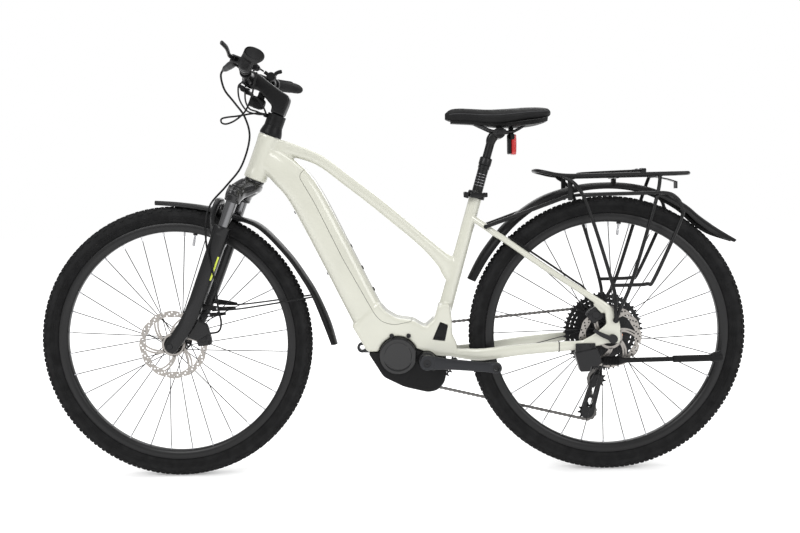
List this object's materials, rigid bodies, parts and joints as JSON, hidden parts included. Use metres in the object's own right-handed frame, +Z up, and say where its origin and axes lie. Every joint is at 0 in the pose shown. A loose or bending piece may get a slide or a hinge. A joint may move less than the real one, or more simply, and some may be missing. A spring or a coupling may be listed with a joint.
{
  "type": "electric hybrid bike",
  "caption": "Electric hybrid bike with mid drive, down-tube battery, suspension fork, disc brakes, mudguards, rear rack and folded side stand.",
  "frame": {"origin": "on the ground, midway between the wheel axles and on the centre plane", "axes": "+X towards the rear wheel, +Y towards the chain side, +Z up"},
  "size_m": [1.857, 0.65, 1.0945],
  "materials": {
    "ivory_paint": "gloss",
    "black_paint": "satin",
    "black_plastic": "matte",
    "rubber": "matte",
    "tyre": "matte",
    "steel": "satin",
    "dark_alloy": "satin",
    "red_lens": "gloss"
  },
  "bodies": {
    "frame": {"frame": "ivory_paint", "battery_cover": "ivory_paint", "battery_pack": "black_plastic", "drive_motor": "black_plastic", "motor_cover": "black_plastic", "chain": "steel", "derailleur_body": "dark_alloy", "derailleur_cage": "dark_alloy", "seat_clamp": "black_paint", "rack": "black_paint", "rear_mudguard": "black_plastic", "kickstand_mount": "dark_alloy", "rear_caliper": "dark_alloy"},
    "steering": {"fork_upper": "black_paint", "headset_spacers": "black_plastic", "stem": "black_paint", "handlebar": "black_paint", "grip_left": "rubber", "grip_right": "rubber", "brake_body_left": "black_plastic", "brake_body_right": "black_plastic", "shifter_body": "black_plastic", "remote_body": "black_plastic", "bell": "black_paint", "display_unit": "black_plastic", "headlight": "black_plastic", "control_cables": "black_plastic", "front_brake_hose": "black_plastic"},
    "lower_fork": {"fork_lowers": "black_paint", "front_caliper": "dark_alloy", "front_thru_axle": "dark_alloy", "front_mudguard": "black_plastic"},
    "front_wheel": {"tyre_front": "tyre", "rim_front": "black_paint", "hub_spokes_front": "dark_alloy", "rotor_front": "steel"},
    "rear_wheel": {"tyre_rear": "tyre", "rim_rear": "black_paint", "hub_spokes_rear": "dark_alloy", "rotor_rear": "steel"},
    "cranks": {"crank_arm_left": "dark_alloy", "crank_arm_right": "dark_alloy"},
    "cassette": {"cassette": "steel"},
    "guide_pulley": {"guide_pulley": "black_plastic"},
    "tension_pulley": {"tension_pulley": "black_plastic"},
    "brake_lever_left": {"brake_lever_left": "dark_alloy"},
    "brake_lever_right": {"brake_lever_right": "dark_alloy"},
    "shifter_paddle": {"shifter_paddle": "black_plastic"},
    "remote_button": {"remote_button": "black_plastic"},
    "lockout_knob": {"lockout_knob": "black_paint"},
    "kickstand_leg": {"kickstand_leg": "dark_alloy"},
    "seatpost_lower": {"seatpost_lower": "black_paint"},
    "saddle": {"seatpost_upper": "black_paint", "saddle_cover": "rubber", "saddle_base": "black_plastic", "tail_light": "red_lens"},
    "seat_clamp_lever": {"seat_clamp_lever": "black_paint"},
    "rear_thru_axle": {"rear_thru_axle": "dark_alloy"},
    "rack_spring_clip": {"rack_spring_clip": "black_paint"},
    "charge_port_flap": {"charge_port_flap": "black_plastic"}
  },
  "joints": [
    {"name": "steering_turn", "type": "hinge", "parent": "frame", "child": "steering", "pos_m": [-0.34523, 0, 0.78612], "axis": [0.3665, 0, 0.9304], "range_deg": [-60, 60]},
    {"name": "fork_travel", "type": "slide", "parent": "steering", "child": "lower_fork", "axis": [0.3665, 0, 0.9304], "range_m": [0, 0.063], "stiffness_N_per_m": 8000, "springref_m": -0.002, "deforming": ["front_brake_hose"]},
    {"name": "front_wheel_spin", "type": "hinge", "parent": "lower_fork", "child": "front_wheel", "pos_m": [-0.5675, 0, 0.361], "axis": [0, 1, 0], "continuous": true},
    {"name": "rear_wheel_spin", "type": "hinge", "parent": "frame", "child": "rear_wheel", "pos_m": [0.5675, 0, 0.361], "axis": [0, 1, 0], "continuous": true},
    {"name": "crank_spin", "type": "hinge", "parent": "frame", "child": "cranks", "pos_m": [0.096, 0, 0.306], "axis": [0, 1, 0], "continuous": true},
    {"name": "cassette_spin", "type": "hinge", "parent": "frame", "child": "cassette", "pos_m": [0.5675, 0, 0.361], "axis": [0, 1, 0], "continuous": true},
    {"name": "guide_pulley_spin", "type": "hinge", "parent": "frame", "child": "guide_pulley", "pos_m": [0.5525, 0.0443, 0.229], "axis": [0, 1, 0], "continuous": true},
    {"name": "tension_pulley_spin", "type": "hinge", "parent": "frame", "child": "tension_pulley", "pos_m": [0.527, 0.0443, 0.141], "axis": [0, 1, 0], "continuous": true},
    {"name": "brake_lever_left_pull", "type": "hinge", "parent": "steering", "child": "brake_lever_left", "pos_m": [-0.35231, -0.172, 1.07373], "axis": [0.3665, 0, 0.9304], "range_deg": [0, 18], "stiffness_Nm_per_rad": 2, "springref_deg": -8.59},
    {"name": "brake_lever_right_pull", "type": "hinge", "parent": "steering", "child": "brake_lever_right", "pos_m": [-0.35231, 0.172, 1.07373], "axis": [-0.3665, 0, -0.9304], "range_deg": [0, 18], "stiffness_Nm_per_rad": 2, "springref_deg": -8.59},
    {"name": "shifter_push", "type": "hinge", "parent": "steering", "child": "shifter_paddle", "pos_m": [-0.31422, 0.151, 1.06947], "axis": [0, 1, 0], "range_deg": [0, 20], "stiffness_Nm_per_rad": 0.4, "springref_deg": -8.59},
    {"name": "remote_press", "type": "slide", "parent": "steering", "child": "remote_button", "axis": [0.9304, 0, -0.3665], "range_m": [0, 0.0015], "stiffness_N_per_m": 400, "springref_m": -0.001},
    {"name": "lockout_turn", "type": "hinge", "parent": "steering", "child": "lockout_knob", "pos_m": [-0.37901, 0.066, 0.76858], "axis": [0.3665, 0, 0.9304], "range_deg": [0, 90]},
    {"name": "kickstand_fold", "type": "hinge", "parent": "frame", "child": "kickstand_leg", "pos_m": [0.529, -0.0815, 0.303], "axis": [0, 0.9659, -0.2588], "range_deg": [0, 90]},
    {"name": "seatpost_height", "type": "slide", "parent": "frame", "child": "seatpost_lower", "axis": [0.281, 0, 0.9597], "range_m": [-0.05, 0.08]},
    {"name": "seatpost_suspension", "type": "slide", "parent": "seatpost_lower", "child": "saddle", "axis": [0.281, 0, 0.9597], "range_m": [-0.03, 0], "stiffness_N_per_m": 20000, "springref_m": 0.008},
    {"name": "seat_clamp_open", "type": "hinge", "parent": "frame", "child": "seat_clamp_lever", "pos_m": [0.2073, -0.027, 0.733], "axis": [0.281, 0, 0.9597], "range_deg": [0, 120]},
    {"name": "rear_axle_turn", "type": "hinge", "parent": "frame", "child": "rear_thru_axle", "pos_m": [0.5675, 0, 0.361], "axis": [0, 1, 0], "range_deg": [-12, 45]},
    {"name": "rack_clip_lift", "type": "hinge", "parent": "frame", "child": "rack_spring_clip", "pos_m": [0.655, 0, 0.785], "axis": [0, 1, 0], "range_deg": [0, 60], "stiffness_Nm_per_rad": 0.8, "springref_deg": -14.32},
    {"name": "charge_flap_open", "type": "hinge", "parent": "frame", "child": "charge_port_flap", "pos_m": [0.132, -0.0392, 0.405], "axis": [-0.9285, 0, 0.3714], "range_deg": [0, 110]}
  ],
  "couplings": [
    {"joint": "cassette_spin", "follows": "crank_spin", "ratio": 1.2121},
    {"joint": "guide_pulley_spin", "follows": "crank_spin", "ratio": -3.6364},
    {"joint": "tension_pulley_spin", "follows": "crank_spin", "ratio": 3.6364}
  ]
}
